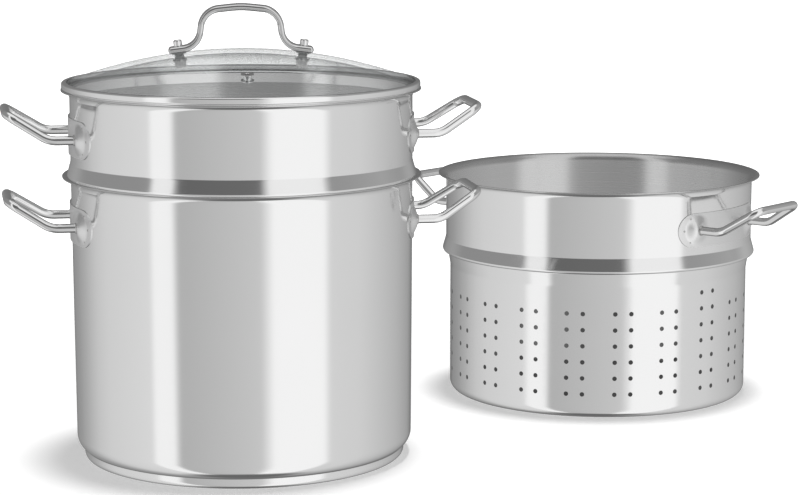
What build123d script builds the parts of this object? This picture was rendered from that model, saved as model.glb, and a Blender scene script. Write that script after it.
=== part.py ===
from build123d import *
from math import asin, atan2, cos, degrees, pi, radians, sin, sqrt, tan
import os

# A pasta pot, the perforated insert that hangs in it, its glass lid, and a
# second insert standing beside it. Millimetres, +Z up. The origin is on the
# floor under the middle of the pot, whose two handles lie along X.

# Sheet work shared by the pot and the inserts
bore_radius = 120.0
sheet = 0.8
lip_reach = 6.0
lip_bend = 5.2
seat_gap = 0.3
weld_gap = 0.05
overrun = 1.0

# Pot, with its sandwich base
pot_height = 202.0
pot_draft = 1.3
pot_corner = 11.0
core_thickness = 5.4
core_edge_gap = 3.5
core_edge = 2.5
cap_sheet = 0.6
cap_edge = 4.0
cap_inset = 6.5

# Insert
insert_height = 174.0
band_height = 62.0
bead_reach = 3.2
bead_edge = 2.0
bead_flare = 10.0
bead_flare_bend = 5.0
tuck_inset = 1.6
tuck_bend = 1.2
tuck_height = 11.0
tuck_ease = 12.0
basket_inset = 3.5
basket_corner = 7.5

# Drain holes, in pairs of columns round the wall and in rings on the floor.
# They are cut four-sided, as large as the round holes that they stand for.
hole_width = 3.1
hole_row_start = 18.8
hole_top_gap = 7.8
hole_rows = 6
hole_pairs = 20
hole_pair_spread = 12.3
ring_pitch = 28.0
rings = 3
ring_holes = 6

# Side handle: a bent rod welded to a plate on the wall. On the pot its level
# is set down from the lip, on an insert up from the bead
rod_radius = 3.2
rod_drop = 31.5
plate_rise = 7.5
rod_spread = 68.0
rod_level_reach = 16.2
rod_reach = 44.7
rod_rise = 17.8
grip_spread = 56.0
rod_bend = 18.0
rod_corner = 10.0
plate_sheet = 1.2
plate_width = 103.0
plate_height = 26.0
boss_radius = 6.6
boss_foot_radius = 10.5
boss_height = 2.6

# Lid: domed glass in a folded rim
rim_inset = 0.5
rim_sheet = 0.5
rim_flange = 3.5
rim_fold = 0.8
rim_play = 0.1
skirt_play = 1.2
skirt_depth = 8.0
glass_thickness = 3.6
glass_edge = 0.8
glass_rise = 22.0
lid_turn = -6.0

# Steam vent, an eyelet through the glass
vent_place = 84.0
vent_bearing = -88.0
vent_bore = 1.6
vent_tube = 3.0
vent_flange = 4.6
vent_sheet = 0.7

# Lid handle: a bent strap held by two screws, with grommets at the glass
strap_width = 16.0
strap_thickness = 3.2
strap_edge = 0.9
strap_tip = 5.0
strap_foot = 14.0
strap_leg = 26.5
strap_leg_rise = 26.8
strap_rise = 29.5
strap_foot_bend = 13.5
strap_corner = 14.0
strap_crown_bend = 60.0
screw_place = 43.5
screw_radius = 2.0
screw_play = 0.2
thread_play = 0.05
screw_head_radius = 3.1
screw_head_height = 4.4
screw_head_edge = 1.2
grommet_radius = 5.0
grommet_neck = 3.2
grommet_sheet = 1.0
washer_radius = 4.5
washer_sheet = 0.8
nut_radius = 4.0
nut_height = 4.2
nut_wall = 1.2
nut_edge = 1.0

# Second insert, on the floor beside the pot
stand_gap = 93.3
stand_bearing = 28.8
stand_turn = -49.8

# Worked out from the above
wall_radius = bore_radius + sheet
lip_radius = wall_radius + lip_reach
lip_crest = lip_bend + sheet
core_top = cap_sheet + core_thickness
foot_radius = wall_radius - pot_draft
core_radius = foot_radius - pot_corner - core_edge_gap
cap_radius = wall_radius - cap_inset
plate_top = pot_height - rod_drop + plate_height / 2
plate_wall = wall_radius - pot_draft * (pot_height - sheet - plate_top) / (pot_height - sheet - core_top)
bead_height = insert_height - band_height
insert_rod_level = bead_height + bead_flare + plate_rise + plate_height / 2
hole_row_pitch = (bead_height - tuck_height - hole_top_gap - hole_row_start) / hole_rows
bead_radius = wall_radius + bead_reach
tuck_radius = wall_radius - tuck_inset
basket_radius = wall_radius - basket_inset
rim_radius = lip_radius - rim_inset
rim_height = glass_thickness + 2 * (rim_sheet + rim_play)
glass_radius = rim_radius - rim_sheet - rim_play
glass_reach = rim_radius - rim_flange
glass_edge_top = rim_height - rim_sheet - rim_play
dome_radius = (glass_reach**2 + glass_rise**2) / (2 * glass_rise)

# The bead's round edge nests in the round of the pot's lip
bead_turn = pi / 2 + atan2(bead_reach, bead_flare)
bead_edge_place = bead_radius - bead_edge * tan(bead_turn / 2)
nest_across = lip_radius - lip_reach + lip_bend - bead_edge_place
nest_up = sqrt((lip_crest + bead_edge + seat_gap) ** 2 - nest_across**2)
insert_rise = pot_height - lip_crest + nest_up - bead_edge - bead_height
lid_seat = insert_rise + insert_height + seat_gap


def turned(frame, bearing, height=0):
    # the same frame turned about its own axis and raised along it
    return Plane(frame.location * Location((0, 0, height), (0, 0, bearing)))


def upright(frame):
    # the vertical plane through a frame's axis and its X direction
    return Plane(origin=frame.origin, x_dir=frame.x_dir, z_dir=-frame.y_dir)


def axis_of(frame):
    return Axis(frame.origin, frame.z_dir)


pot_frame = Plane.XY
hung_frame = Plane.XY.offset(insert_rise)
lid_frame = turned(Plane.XY, lid_turn, lid_seat)
stand_line = turned(Plane.XY, stand_bearing)
stand_frame = turned(
    Plane(origin=stand_line.x_dir * (2 * lip_radius + stand_gap), x_dir=Plane.XY.x_dir, z_dir=Plane.XY.z_dir),
    stand_turn,
)


def save(piece, name):
    piece.part.label = name
    export_step(piece.part, f"parts/{name}.step")
    print(name, "made")


def make_pot_shell():
    # drawn from one sheet: flat floor, round corner, drafted wall, pouring lip
    with BuildPart() as shell:
        with BuildSketch(upright(pot_frame)):
            with BuildLine():
                FilletPolyline(
                    (0, core_top),
                    (foot_radius, core_top),
                    (wall_radius, pot_height - sheet),
                    (lip_radius, pot_height - sheet),
                    radius=[pot_corner, lip_bend],
                )
                offset(amount=sheet, side=Side.LEFT)
            make_face()
        revolve(axis=axis_of(pot_frame))
    save(shell, "pot_shell")


def make_base():
    # an aluminium core under the floor, and the steel cap pressed on round it
    with BuildPart() as core:
        with BuildSketch(Plane.XY.offset(cap_sheet)):
            Circle(core_radius)
        extrude(amount=core_thickness)
        fillet(core.edges().group_by(Axis.Z)[0], core_edge)
    save(core, "base_core")

    corner_across = cap_radius - cap_sheet - (foot_radius - pot_corner)
    cap_height = core_top + pot_corner - sqrt(pot_corner**2 - corner_across**2) - weld_gap
    with BuildPart() as cap:
        with BuildSketch(upright(pot_frame)):
            with BuildLine():
                FilletPolyline((0, 0), (cap_radius, 0), (cap_radius, cap_height), radius=cap_edge)
                offset(amount=cap_sheet, side=Side.LEFT)
            make_face()
        revolve(axis=axis_of(pot_frame))
    save(cap, "base_cap")


def wall_hole_planes(frame):
    # one plane on each drain hole of the wall, facing out of the basket
    planes = []
    start = basket_radius - sheet - overrun
    half_spread = degrees(hole_pair_spread / basket_radius) / 2
    for pair in range(hole_pairs):
        middle = 360 * (pair + 0.5) / hole_pairs
        # the last pair has one row more than the others
        rows = hole_rows + (pair == hole_pairs - 1)
        for bearing in (middle - half_spread, middle + half_spread):
            for row in range(rows):
                spot = turned(frame, bearing, hole_row_start + row * hole_row_pitch)
                planes.append(Plane(spot.origin + spot.x_dir * start, spot.y_dir, spot.x_dir))
    return planes


def floor_hole_planes(frame):
    # a hole in the middle of the basket's floor, and rings of holes round it
    planes = [frame.offset(-overrun)]
    for ring in range(1, rings + 1):
        for step in range(ring_holes * ring):
            spot = turned(frame, 360 * step / (ring_holes * ring), -overrun)
            planes.append(Plane(spot.origin + spot.x_dir * ring * ring_pitch, spot.x_dir, spot.z_dir))
    return planes


def make_insert_shell(frame, name):
    # one drawn sheet: basket with drain holes, tuck and bead, plain band, pouring lip
    with BuildPart() as shell:
        with BuildSketch(upright(frame)):
            with BuildLine():
                FilletPolyline(
                    (0, 0),
                    (basket_radius, 0),
                    (basket_radius, bead_height - tuck_height),
                    (tuck_radius, bead_height),
                    (bead_radius, bead_height),
                    (wall_radius, bead_height + bead_flare),
                    (wall_radius, insert_height - sheet),
                    (lip_radius, insert_height - sheet),
                    radius=[basket_corner, tuck_ease, tuck_bend, bead_edge, bead_flare_bend, lip_bend],
                )
                offset(amount=sheet, side=Side.LEFT)
            make_face()
        revolve(axis=axis_of(frame))
        with BuildSketch(*wall_hole_planes(frame), *floor_hole_planes(frame)):
            Rectangle(hole_width, hole_width)
        extrude(amount=sheet + 2 * overrun, mode=Mode.SUBTRACT)
    save(shell, name)


def make_plate(frame, wall, boss_face, name):
    # a pressed plate that follows the wall, with a flat boss under each rod end
    facing = Plane(origin=frame.origin, x_dir=frame.y_dir, z_dir=frame.x_dir)
    inside = wall + weld_gap
    # the bosses flare down into the sheet, also at their outer edges
    boss_end = sqrt((inside + plate_sheet / 2) ** 2 - (rod_spread / 2 + boss_foot_radius) ** 2)
    boss_depth = boss_face - boss_end
    slope = degrees(atan2(boss_foot_radius - boss_radius, boss_depth))
    with BuildPart() as plate:
        with BuildSketch(frame.offset(-plate_height / 2)):
            Circle(inside + plate_sheet)
        extrude(amount=plate_height)
        with BuildSketch(facing):
            SlotOverall(plate_width, plate_height)
        extrude(amount=inside + plate_sheet + overrun, mode=Mode.INTERSECT)
        with BuildSketch(facing.offset(boss_face)):
            with Locations((-rod_spread / 2, 0), (rod_spread / 2, 0)):
                Circle(boss_radius)
        extrude(amount=-boss_depth, taper=-slope)
        with BuildSketch(frame.offset(-plate_height / 2)):
            Circle(inside)
        extrude(amount=plate_height, mode=Mode.SUBTRACT)
    save(plate, name)


def make_rod(frame, wall, boss_face, name):
    # level out of the bosses, then bent up and drawn in to the grip
    corner = (wall + rod_level_reach, rod_spread / 2, 0)
    grip = (wall + rod_reach, grip_spread / 2, rod_rise)
    with BuildPart() as rod:
        with BuildLine(frame) as route:
            FilletPolyline(
                (boss_face, corner[1], 0),
                corner,
                grip,
                (grip[0], -grip[1], grip[2]),
                (corner[0], -corner[1], 0),
                (boss_face, -corner[1], 0),
                radius=[rod_bend, rod_corner, rod_corner, rod_bend],
            )
        with BuildSketch(Plane(origin=route.line @ 0, z_dir=route.line % 0)):
            Circle(rod_radius)
        sweep(path=route.line)
    save(rod, name)


def make_handles(frame, height, wall, prefix):
    # one handle at each end of the frame's X axis, its rod at the given height
    boss_face = sqrt((wall + plate_sheet) ** 2 - (rod_spread / 2) ** 2) + boss_height
    for side, bearing in (("right", 0), ("left", 180)):
        level = turned(frame, bearing, height)
        make_plate(level, wall, boss_face, f"{prefix}_handle_plate_{side}")
        make_rod(level, wall, boss_face, f"{prefix}_handle_{side}")


def make_insert(frame, prefix):
    make_insert_shell(frame, f"{prefix}_shell")
    make_handles(frame, insert_rod_level, wall_radius, prefix)


def make_rim():
    # a steel channel folded over the edge of the glass, with a skirt in the mouth;
    # a narrow flat stands for the round of each fold
    skirt_radius = bore_radius - skirt_play
    with BuildPart() as rim:
        with BuildSketch(upright(lid_frame)):
            with BuildLine():
                Polyline(
                    (glass_reach, rim_height),
                    (rim_radius - rim_fold, rim_height),
                    (rim_radius, rim_height - rim_fold),
                    (rim_radius, rim_fold),
                    (rim_radius - rim_fold, 0),
                    (skirt_radius + rim_fold, 0),
                    (skirt_radius, -rim_fold),
                    (skirt_radius, -skirt_depth),
                )
                offset(amount=rim_sheet, side=Side.RIGHT, kind=Kind.INTERSECTION)
            make_face()
        revolve(axis=axis_of(lid_frame))
    save(rim, "lid_rim")


def glass_plane(bearing, place):
    # the plane that lies on the dome at a place, its Z square to the glass
    lean = asin(place / dome_radius)
    height = glass_edge_top + glass_rise - dome_radius * (1 - cos(lean))
    side = turned(lid_frame, bearing)
    return Plane(side.location * Location((place, 0, height), (0, degrees(lean), 0)))


screw_planes = [glass_plane(0, screw_place), glass_plane(180, screw_place)]
vent_plane = glass_plane(vent_bearing, vent_place)
under_glass = -(glass_thickness + weld_gap)


def make_glass():
    # an even dome with a flat edge, bored for the two screws and the vent
    crown = glass_edge_top + glass_rise
    with BuildPart() as glass:
        with BuildSketch(upright(lid_frame)):
            with BuildLine():
                TangentArc((0, crown), (glass_reach, glass_edge_top), tangent=(1, 0))
                Line((glass_reach, glass_edge_top), (glass_radius, glass_edge_top))
                Line((glass_radius, glass_edge_top), (glass_radius, glass_edge_top - glass_thickness))
                Line(
                    (glass_radius, glass_edge_top - glass_thickness),
                    (glass_reach, glass_edge_top - glass_thickness),
                )
                TangentArc(
                    (0, crown - glass_thickness),
                    (glass_reach, glass_edge_top - glass_thickness),
                    tangent=(1, 0),
                )
                Line((0, crown - glass_thickness), (0, crown))
            section = make_face()
            chamfer(section.vertices().group_by(Axis.X)[-1], glass_edge)
        revolve(axis=axis_of(lid_frame))
        with BuildSketch(*screw_planes):
            Circle(grommet_neck + weld_gap)
        with BuildSketch(vent_plane):
            Circle(vent_tube + weld_gap)
        extrude(amount=glass_thickness + overrun, both=True, mode=Mode.SUBTRACT)
    save(glass, "lid_glass")


def make_vent():
    # an eyelet with a flange on each face of the glass
    low = under_glass - vent_sheet
    with BuildPart() as vent:
        with BuildSketch(upright(vent_plane)):
            with BuildLine():
                Polyline(
                    (vent_bore, low),
                    (vent_flange, low),
                    (vent_flange, under_glass),
                    (vent_tube, under_glass),
                    (vent_tube, 0),
                    (vent_flange, 0),
                    (vent_flange, vent_sheet),
                    (vent_bore, vent_sheet),
                    close=True,
                )
            make_face()
        revolve(axis=axis_of(vent_plane))
        fillet(vent.edges().group_by(Axis(vent_plane.origin, vent_plane.z_dir))[-1], vent_sheet / 3)
    save(vent, "lid_vent_eyelet")


def make_strap():
    # feet flat on the grommets, legs that lean in, and a slightly arched grip
    lean = asin(screw_place / dome_radius)
    lift = grommet_sheet + strap_thickness / 2
    on_axis = (dome_radius + lift) * sin(lean), (dome_radius + lift) * cos(lean)
    dome_centre = glass_edge_top + glass_rise - dome_radius
    tip = (on_axis[0] + strap_tip * cos(lean), dome_centre + on_axis[1] - strap_tip * sin(lean))
    foot = (on_axis[0] - strap_foot * cos(lean), dome_centre + on_axis[1] + strap_foot * sin(lean))
    leg = (strap_leg, foot[1] + strap_leg_rise)
    crown = (0, foot[1] + strap_rise)
    with BuildPart() as strap:
        with BuildSketch(upright(lid_frame)):
            with BuildLine():
                FilletPolyline(
                    (-tip[0], tip[1]),
                    (-foot[0], foot[1]),
                    (-leg[0], leg[1]),
                    crown,
                    leg,
                    foot,
                    tip,
                    radius=[
                        strap_foot_bend,
                        strap_corner,
                        strap_crown_bend,
                        strap_corner,
                        strap_foot_bend,
                    ],
                )
                offset(amount=strap_thickness / 2)
            make_face()
        extrude(amount=strap_width / 2, both=True)
        across = Axis(lid_frame.origin, lid_frame.y_dir)
        sides = strap.faces().sort_by(across)
        fillet(sides[0].edges() + sides[-1].edges(), strap_edge)
        with BuildSketch(*screw_planes):
            Circle(screw_radius + screw_play)
        extrude(amount=lift + strap_thickness, mode=Mode.SUBTRACT)
    save(strap, "lid_handle")


def make_screws():
    # two screws, down through strap, grommet and glass into the cap nuts
    head_seat = grommet_sheet + strap_thickness
    nut_face = under_glass - grommet_sheet - washer_sheet
    shank_end = nut_face - nut_height + nut_wall + screw_play
    with BuildPart() as screws:
        with BuildSketch(*[plane.offset(head_seat) for plane in screw_planes]):
            Circle(screw_head_radius)
        extrude(amount=screw_head_height)
        tops = screws.faces().filter_by(GeomType.PLANE).group_by(Axis.Z)[-1]
        fillet(tops.edges(), screw_head_edge)
        with BuildSketch(*[plane.offset(head_seat) for plane in screw_planes]):
            Circle(screw_radius)
        extrude(amount=shank_end - head_seat)
    save(screws, "lid_screws")

    with BuildPart() as grommets:
        with BuildSketch(*screw_planes):
            Circle(grommet_radius)
        extrude(amount=grommet_sheet)
        with BuildSketch(*screw_planes):
            Circle(grommet_neck)
        extrude(amount=under_glass)
        with BuildSketch(*[plane.offset(under_glass) for plane in screw_planes]):
            Circle(grommet_radius)
        extrude(amount=-grommet_sheet)
        with BuildSketch(*screw_planes):
            Circle(screw_radius + screw_play)
        extrude(amount=glass_thickness + 2 * grommet_sheet, both=True, mode=Mode.SUBTRACT)
    save(grommets, "lid_grommets")

    with BuildPart() as washers:
        with BuildSketch(*[plane.offset(under_glass - grommet_sheet) for plane in screw_planes]):
            Circle(washer_radius)
            Circle(screw_radius + screw_play, mode=Mode.SUBTRACT)
        extrude(amount=-washer_sheet)
    save(washers, "lid_washers")

    with BuildPart() as nuts:
        with BuildSketch(*[plane.offset(nut_face) for plane in screw_planes]):
            RegularPolygon(nut_radius, 6)
        extrude(amount=-nut_height)
        lows = nuts.faces().filter_by(GeomType.PLANE).group_by(Axis.Z)[0]
        fillet(lows.edges(), nut_edge)
        with BuildSketch(*[plane.offset(nut_face) for plane in screw_planes]):
            Circle(screw_radius + thread_play)
        extrude(amount=nut_wall - nut_height, mode=Mode.SUBTRACT)
    save(nuts, "lid_nuts")


os.makedirs("parts", exist_ok=True)
make_pot_shell()
make_base()
make_handles(pot_frame, pot_height - rod_drop, plate_wall, "pot")
make_insert(hung_frame, "insert")
make_insert(stand_frame, "second_insert")
make_rim()
make_glass()
make_vent()
make_strap()
make_screws()
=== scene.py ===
from math import asin, ceil, cos, degrees, pi, radians, sin, sqrt, tan

import bmesh
import bpy
from mathutils import Matrix, Vector


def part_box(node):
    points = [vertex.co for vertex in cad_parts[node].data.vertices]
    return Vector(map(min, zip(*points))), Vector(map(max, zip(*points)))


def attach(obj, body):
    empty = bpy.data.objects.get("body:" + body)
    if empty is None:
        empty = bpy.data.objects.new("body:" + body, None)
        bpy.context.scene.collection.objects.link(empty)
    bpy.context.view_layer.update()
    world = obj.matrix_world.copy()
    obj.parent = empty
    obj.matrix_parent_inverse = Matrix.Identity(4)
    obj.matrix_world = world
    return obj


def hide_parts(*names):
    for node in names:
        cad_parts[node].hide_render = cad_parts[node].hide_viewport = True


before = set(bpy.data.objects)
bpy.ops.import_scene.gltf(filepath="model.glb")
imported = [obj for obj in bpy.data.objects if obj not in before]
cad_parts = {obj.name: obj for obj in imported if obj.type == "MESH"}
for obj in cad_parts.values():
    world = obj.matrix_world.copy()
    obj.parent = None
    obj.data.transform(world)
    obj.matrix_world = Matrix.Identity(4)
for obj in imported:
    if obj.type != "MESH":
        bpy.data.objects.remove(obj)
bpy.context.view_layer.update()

print("frame loaded:", len(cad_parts), "nodes")


# Node helpers

class Value:
    # a node's output that can stand in sums; every sum adds a Math node
    def __init__(self, maker, socket):
        self.maker = maker
        self.socket = socket

    def maths(self, operation, *others):
        inputs = dict(enumerate((self, *others)))
        return self.maker.add("ShaderNodeMath", {"operation": operation}, inputs)

    def flipped(self, operation, other):
        return self.maker.add("ShaderNodeMath", {"operation": operation}, {0: other, 1: self})

    def __add__(self, other):
        return self.maths("ADD", other)

    __radd__ = __add__

    def __mul__(self, other):
        return self.maths("MULTIPLY", other)

    __rmul__ = __mul__

    def __sub__(self, other):
        return self.maths("SUBTRACT", other)

    def __rsub__(self, other):
        return self.flipped("SUBTRACT", other)

    def __truediv__(self, other):
        return self.maths("DIVIDE", other)

    def __rtruediv__(self, other):
        return self.flipped("DIVIDE", other)

    def __gt__(self, other):
        return self.maths("GREATER_THAN", other)

    def __lt__(self, other):
        return self.maths("LESS_THAN", other)

    def out(self, name):
        return Value(self.maker, self.socket.node.outputs[name])


class NodeMaker:
    # adds nodes to one tree, with their settings first and then their inputs
    def __init__(self, tree):
        self.tree = tree
        tree.nodes.clear()

    def add(self, kind, settings=None, inputs=None):
        node = self.tree.nodes.new(kind)
        for name, setting in (settings or {}).items():
            if name == "stops":
                # the first and last stand at the ramp's ends
                ramp = node.color_ramp
                ramp.elements[0].color = setting[0][1]
                ramp.elements[1].color = setting[-1][1]
                for place, colour in setting[1:-1]:
                    ramp.elements.new(place).color = colour
            else:
                setattr(node, name, setting)
        for name, value in (inputs or {}).items():
            self.plug(node.inputs[name], value)
        return Value(self, node.outputs[0]) if len(node.outputs) else None

    def plug(self, socket, value):
        if isinstance(value, (list, tuple)) and value and isinstance(value[0], Value):
            for part in value:
                self.tree.links.new(part.socket, socket)
        elif isinstance(value, Value):
            self.tree.links.new(value.socket, socket)
        else:
            socket.default_value = value

    def easeBetween(self, value, low, high):
        # 0 below low, 1 above high, and an even curve between them
        inputs = {"Value": value, "From Min": low, "From Max": high}
        return self.add("ShaderNodeMapRange", {"interpolation_type": "SMOOTHSTEP"}, inputs)

    def noise(self, vector, scale, detail=2.0):
        return self.add("ShaderNodeTexNoise", None, {"Vector": vector, "Scale": scale, "Detail": detail})

    def bump(self, height, distance):
        inputs = {"Height": height, "Distance": distance, "Strength": 1.0}
        return self.add("ShaderNodeBump", None, inputs)

    def blend(self, share, first, second):
        # a colour between two
        inputs = {0: share, 6: first, 7: second}
        return self.add("ShaderNodeMix", {"data_type": "RGBA"}, inputs).out(2)

    def metal(self, colour, roughness, normal=None, more=None):
        inputs = {"Base Color": colour, "Metallic": 1.0, "Roughness": roughness, **(more or {})}
        if normal:
            inputs["Normal"] = normal
        return self.add("ShaderNodeBsdfPrincipled", None, inputs)

    def split(self, vector):
        parts = self.add("ShaderNodeSeparateXYZ", None, {"Vector": vector})
        return parts.out("X"), parts.out("Y"), parts.out("Z")


# Materials

def newMaterial(name):
    material = bpy.data.materials.new(name)
    material.use_nodes = True
    maker = NodeMaker(material.node_tree)
    return material, maker, maker.add("ShaderNodeTexCoord").out("Object")


def closeMaterial(maker, shader):
    maker.add("ShaderNodeOutputMaterial", None, {"Surface": shader})


def dimmed(colour, share):
    return [channel * share for channel in colour[:3]] + [1]


steelFinish = {
    "colour": (0.83, 0.83, 0.83, 1),
    "cloudScale": 14.0,
    "cloudShade": 0.97,
    "roughness": 0.11,
    "roughnessSpread": 0.05,
    "grainSpacing": 0.0011,
    "grainHeight": 0.0000012,
    "brushed": 0,
    "brushTurn": 0,
    "smallestRadius": 0.0001,
}
plateFinish = dict(steelFinish, roughness=0.36)
# the inside is brushed, not polished; its darker colour and its dimming with depth are painted shade
insideFinishAndPaintedShade = dict(
    steelFinish,
    # painted shade: a darker colour than the outside steel
    colour=(0.58, 0.58, 0.58, 1),
    roughness=0.28,
    roughnessSpread=0.06,
    grainSpacing=0.0009,
    grainHeight=0.000004,
    brushed=0.95,
    brushTurn=0.25,
    # painted shade: the colour darkens from below the mouth towards the bottom
    paintedDepthShade=0.24,
    paintedShadeStart=0.045,
    paintedShadeEnd=0.075,
)


def turnedSteel(name, centre, finish=steelFinish, mouth=0):
    # sheet steel polished on the lathe, with faint rings round the axis at centre; with a mouth, painted
    # shade darkens it from that height down
    material, maker, place = newMaterial(name)
    shift = {"Vector": place, "Location": [-c for c in centre]}
    place = maker.add("ShaderNodeMapping", None, shift)
    x, y, z = maker.split(place)
    radius = (x * x + y * y).maths("SQRT").maths("MAXIMUM", finish["smallestRadius"])
    along = (z + radius) / finish["grainSpacing"]
    rings = maker.add("ShaderNodeCombineXYZ", None, {"X": x / radius, "Y": y / radius, "Z": along})
    grain = maker.noise(rings, 1.0, 3.0)
    clouds = maker.noise(place, finish["cloudScale"], 3.0)
    roughness = finish["roughness"] + (grain - 0.5) * finish["roughnessSpread"]
    roughness = roughness + (clouds - 0.5) * finish["roughnessSpread"]
    colour = finish["colour"]
    shade = maker.blend(clouds, dimmed(colour, finish["cloudShade"]), colour)
    if mouth:
        # painted shade: below the mouth the colour darkens towards the bottom
        paintedShadeShare = maker.easeBetween(mouth - z, finish["paintedShadeStart"], finish["paintedShadeEnd"])
        shade = maker.blend(paintedShadeShare, shade, dimmed(colour, finish["paintedDepthShade"]))
    closeMaterial(maker, maker.metal(shade, roughness, maker.bump(grain, finish["grainHeight"]), {
        "Anisotropic": finish["brushed"], "Anisotropic Rotation": finish["brushTurn"],
    }))
    return material


rodFinish = {
    "colour": (0.78, 0.78, 0.78, 1),
    "roughness": 0.09,
    "roughnessSpread": 0.05,
    "wearScale": 60.0,
    "scuffScale": 900.0,
    "scuffHeight": 0.000002,
}
strapFinish = dict(rodFinish, colour=(0.68, 0.68, 0.68, 1), roughness=0.08)
nutFinish = dict(rodFinish, colour=(0.93, 0.93, 0.93, 1), roughness=0.30, roughnessSpread=0.08)


def polishedSteel(name, finish=rodFinish):
    # buffed wire, strap and nuts: smooth, with soft cloudy wear
    material, maker, place = newMaterial(name)
    wear = maker.noise(place, finish["wearScale"], 4.0)
    scuffs = maker.noise(place, finish["scuffScale"])
    roughness = finish["roughness"] + (wear - 0.5) * finish["roughnessSpread"]
    bump = maker.bump(scuffs, finish["scuffHeight"])
    closeMaterial(maker, maker.metal(finish["colour"], roughness, bump))
    return material


weldFinish = {
    "dark": (0.42, 0.41, 0.40, 1),
    "light": (0.66, 0.66, 0.66, 1),
    "roughness": 0.32,
    "rippleScale": 1500.0,
    "rippleHeight": 0.00006,
}


def weldSteel(finish=weldFinish):
    # the heat-dulled metal of a weld
    material, maker, place = newMaterial("weldSteel")
    ripples = maker.noise(place, finish["rippleScale"])
    shade = maker.blend(ripples, finish["dark"], finish["light"])
    bump = maker.bump(ripples, finish["rippleHeight"])
    closeMaterial(maker, maker.metal(shade, finish["roughness"], bump))
    return material


glassFinish = {
    "tint": (0.955, 0.96, 0.96, 1),
    "gloss": 0.035,
    "edgeGloss": 0.54,
    "edgePower": 5,
    "smearScale": 9.0,
    "smearFrom": 0.45,
    "smearTo": 0.8,
    "smearRoughness": 0.02,
}


def clearGlass(finish=glassFinish):
    # tempered glass seen straight through: a slight grey tint, a clear coat of gloss and faint smears
    material, maker, place = newMaterial("clearGlass")
    smears = maker.noise(place, finish["smearScale"], 4.0)
    smears = maker.easeBetween(smears, finish["smearFrom"], finish["smearTo"])
    through = maker.add("ShaderNodeBsdfTransparent", None, {"Color": finish["tint"]})
    gloss = maker.metal((1, 1, 1, 1), smears * finish["smearRoughness"])
    # the gloss grows edge on, the same from both sides
    edgeOn = maker.add("ShaderNodeLayerWeight", None, {"Blend": 0.5}).out("Facing")
    share = finish["gloss"] + finish["edgeGloss"] * edgeOn.maths("POWER", finish["edgePower"])
    closeMaterial(maker, maker.add("ShaderNodeMixShader", None, {0: share, 1: through, 2: gloss}))
    return material


aluminiumFinish = {
    "colour": (0.72, 0.73, 0.74, 1),
    "roughness": 0.3,
    "roughnessSpread": 0.2,
    "grainScale": 700.0,
    "grainHeight": 0.00002,
}


def castAluminium(finish=aluminiumFinish):
    material, maker, place = newMaterial("castAluminium")
    grain = maker.noise(place, finish["grainScale"], 3.0)
    roughness = grain * finish["roughnessSpread"] + finish["roughness"]
    bump = maker.bump(grain, finish["grainHeight"])
    closeMaterial(maker, maker.metal(finish["colour"], roughness, bump))
    return material


siliconeFinish = {
    "colour": (0.80, 0.81, 0.81, 1),
    "roughness": 0.4,
    "roughnessSpread": 0.2,
    "clearness": 0.3,
    "mottleScale": 400.0,
}


def silicone(finish=siliconeFinish):
    # the soft grommets, milky and slightly see-through
    material, maker, place = newMaterial("silicone")
    mottle = maker.noise(place, finish["mottleScale"])
    roughness = mottle * finish["roughnessSpread"] + finish["roughness"]
    closeMaterial(maker, maker.add("ShaderNodeBsdfPrincipled", None, {
        "Base Color": finish["colour"], "Roughness": roughness,
        "Transmission Weight": finish["clearness"],
    }))
    return material


# Mesh helpers

mergeDistance = 0.00002
poleRadius = 1e-7  # a ring smaller than this is one point


def bentPath(corners, bends, arcStep=radians(9)):
    # a line through corners, each rounded to its own radius; the ends have none
    corners = [Vector(corner) for corner in corners]
    path = [corners[0]]
    for index, bend in enumerate(bends, start=1):
        here = corners[index]
        back = (corners[index - 1] - here).normalized()
        on = (corners[index + 1] - here).normalized()
        turn = pi - back.angle(on)
        start = here + back * bend * tan(turn / 2)
        middle = here + (back + on).normalized() * bend / cos(turn / 2)
        steps = max(2, ceil(turn / arcStep))
        for step in range(steps + 1):
            angle = turn * step / steps
            path.append(middle + (start - middle) * cos(angle) - back * bend * sin(angle))
    path.append(corners[-1])
    return path


def meshObject(name, mesh):
    piece = bpy.data.objects.new(name, mesh)
    bpy.context.scene.collection.objects.link(piece)
    return piece


def evaluatedMesh(piece):
    # what the piece's modifiers make of it, as a plain mesh
    graph = bpy.context.evaluated_depsgraph_get()
    return bpy.data.meshes.new_from_object(piece.evaluated_get(graph))


def evenAngles(count):
    return [2 * pi * step / count for step in range(count)]


def turnedMesh(name, profile, angles, closed=False):
    # turns a profile of (radius, height) round Z; travelling outwards or up faces outwards
    points = []
    rings = []
    for radius, height in profile:
        if radius < poleRadius:
            rings.append([len(points)] * len(angles))
            points.append((0, 0, height))
        else:
            rings.append(list(range(len(points), len(points) + len(angles))))
            points.extend((radius * cos(angle), radius * sin(angle), height) for angle in angles)
    pairs = list(zip(rings, rings[1:]))
    if closed:
        pairs.append((rings[-1], rings[0]))
    faces = []
    for low, high in pairs:
        for step in range(len(angles)):
            after = (step + 1) % len(angles)
            loop = [low[step], low[after], high[after], high[step]]
            corners = list(dict.fromkeys(loop))
            if len(corners) > 2:
                faces.append(corners)
    mesh = bpy.data.meshes.new(name)
    mesh.from_pydata(points, [], faces)
    return mesh


def outlineMesh(name, corners, bends, angles, closed=False):
    # turns an outline of (radius, height) corners, each rounded to its bend
    path = bentPath([(radius, 0, height) for radius, height in corners], bends)
    if path[-1] == path[0]:
        path.pop()
    return turnedMesh(name, [(point.x, point.z) for point in path], angles, closed)


def joinedMesh(name, meshes):
    # several meshes as one, with the points that meet made one
    work = bmesh.new()
    for mesh in meshes:
        work.from_mesh(mesh)
    bmesh.ops.remove_doubles(work, verts=work.verts, dist=mergeDistance)
    whole = bpy.data.meshes.new(name)
    work.to_mesh(whole)
    work.free()
    return whole


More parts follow.
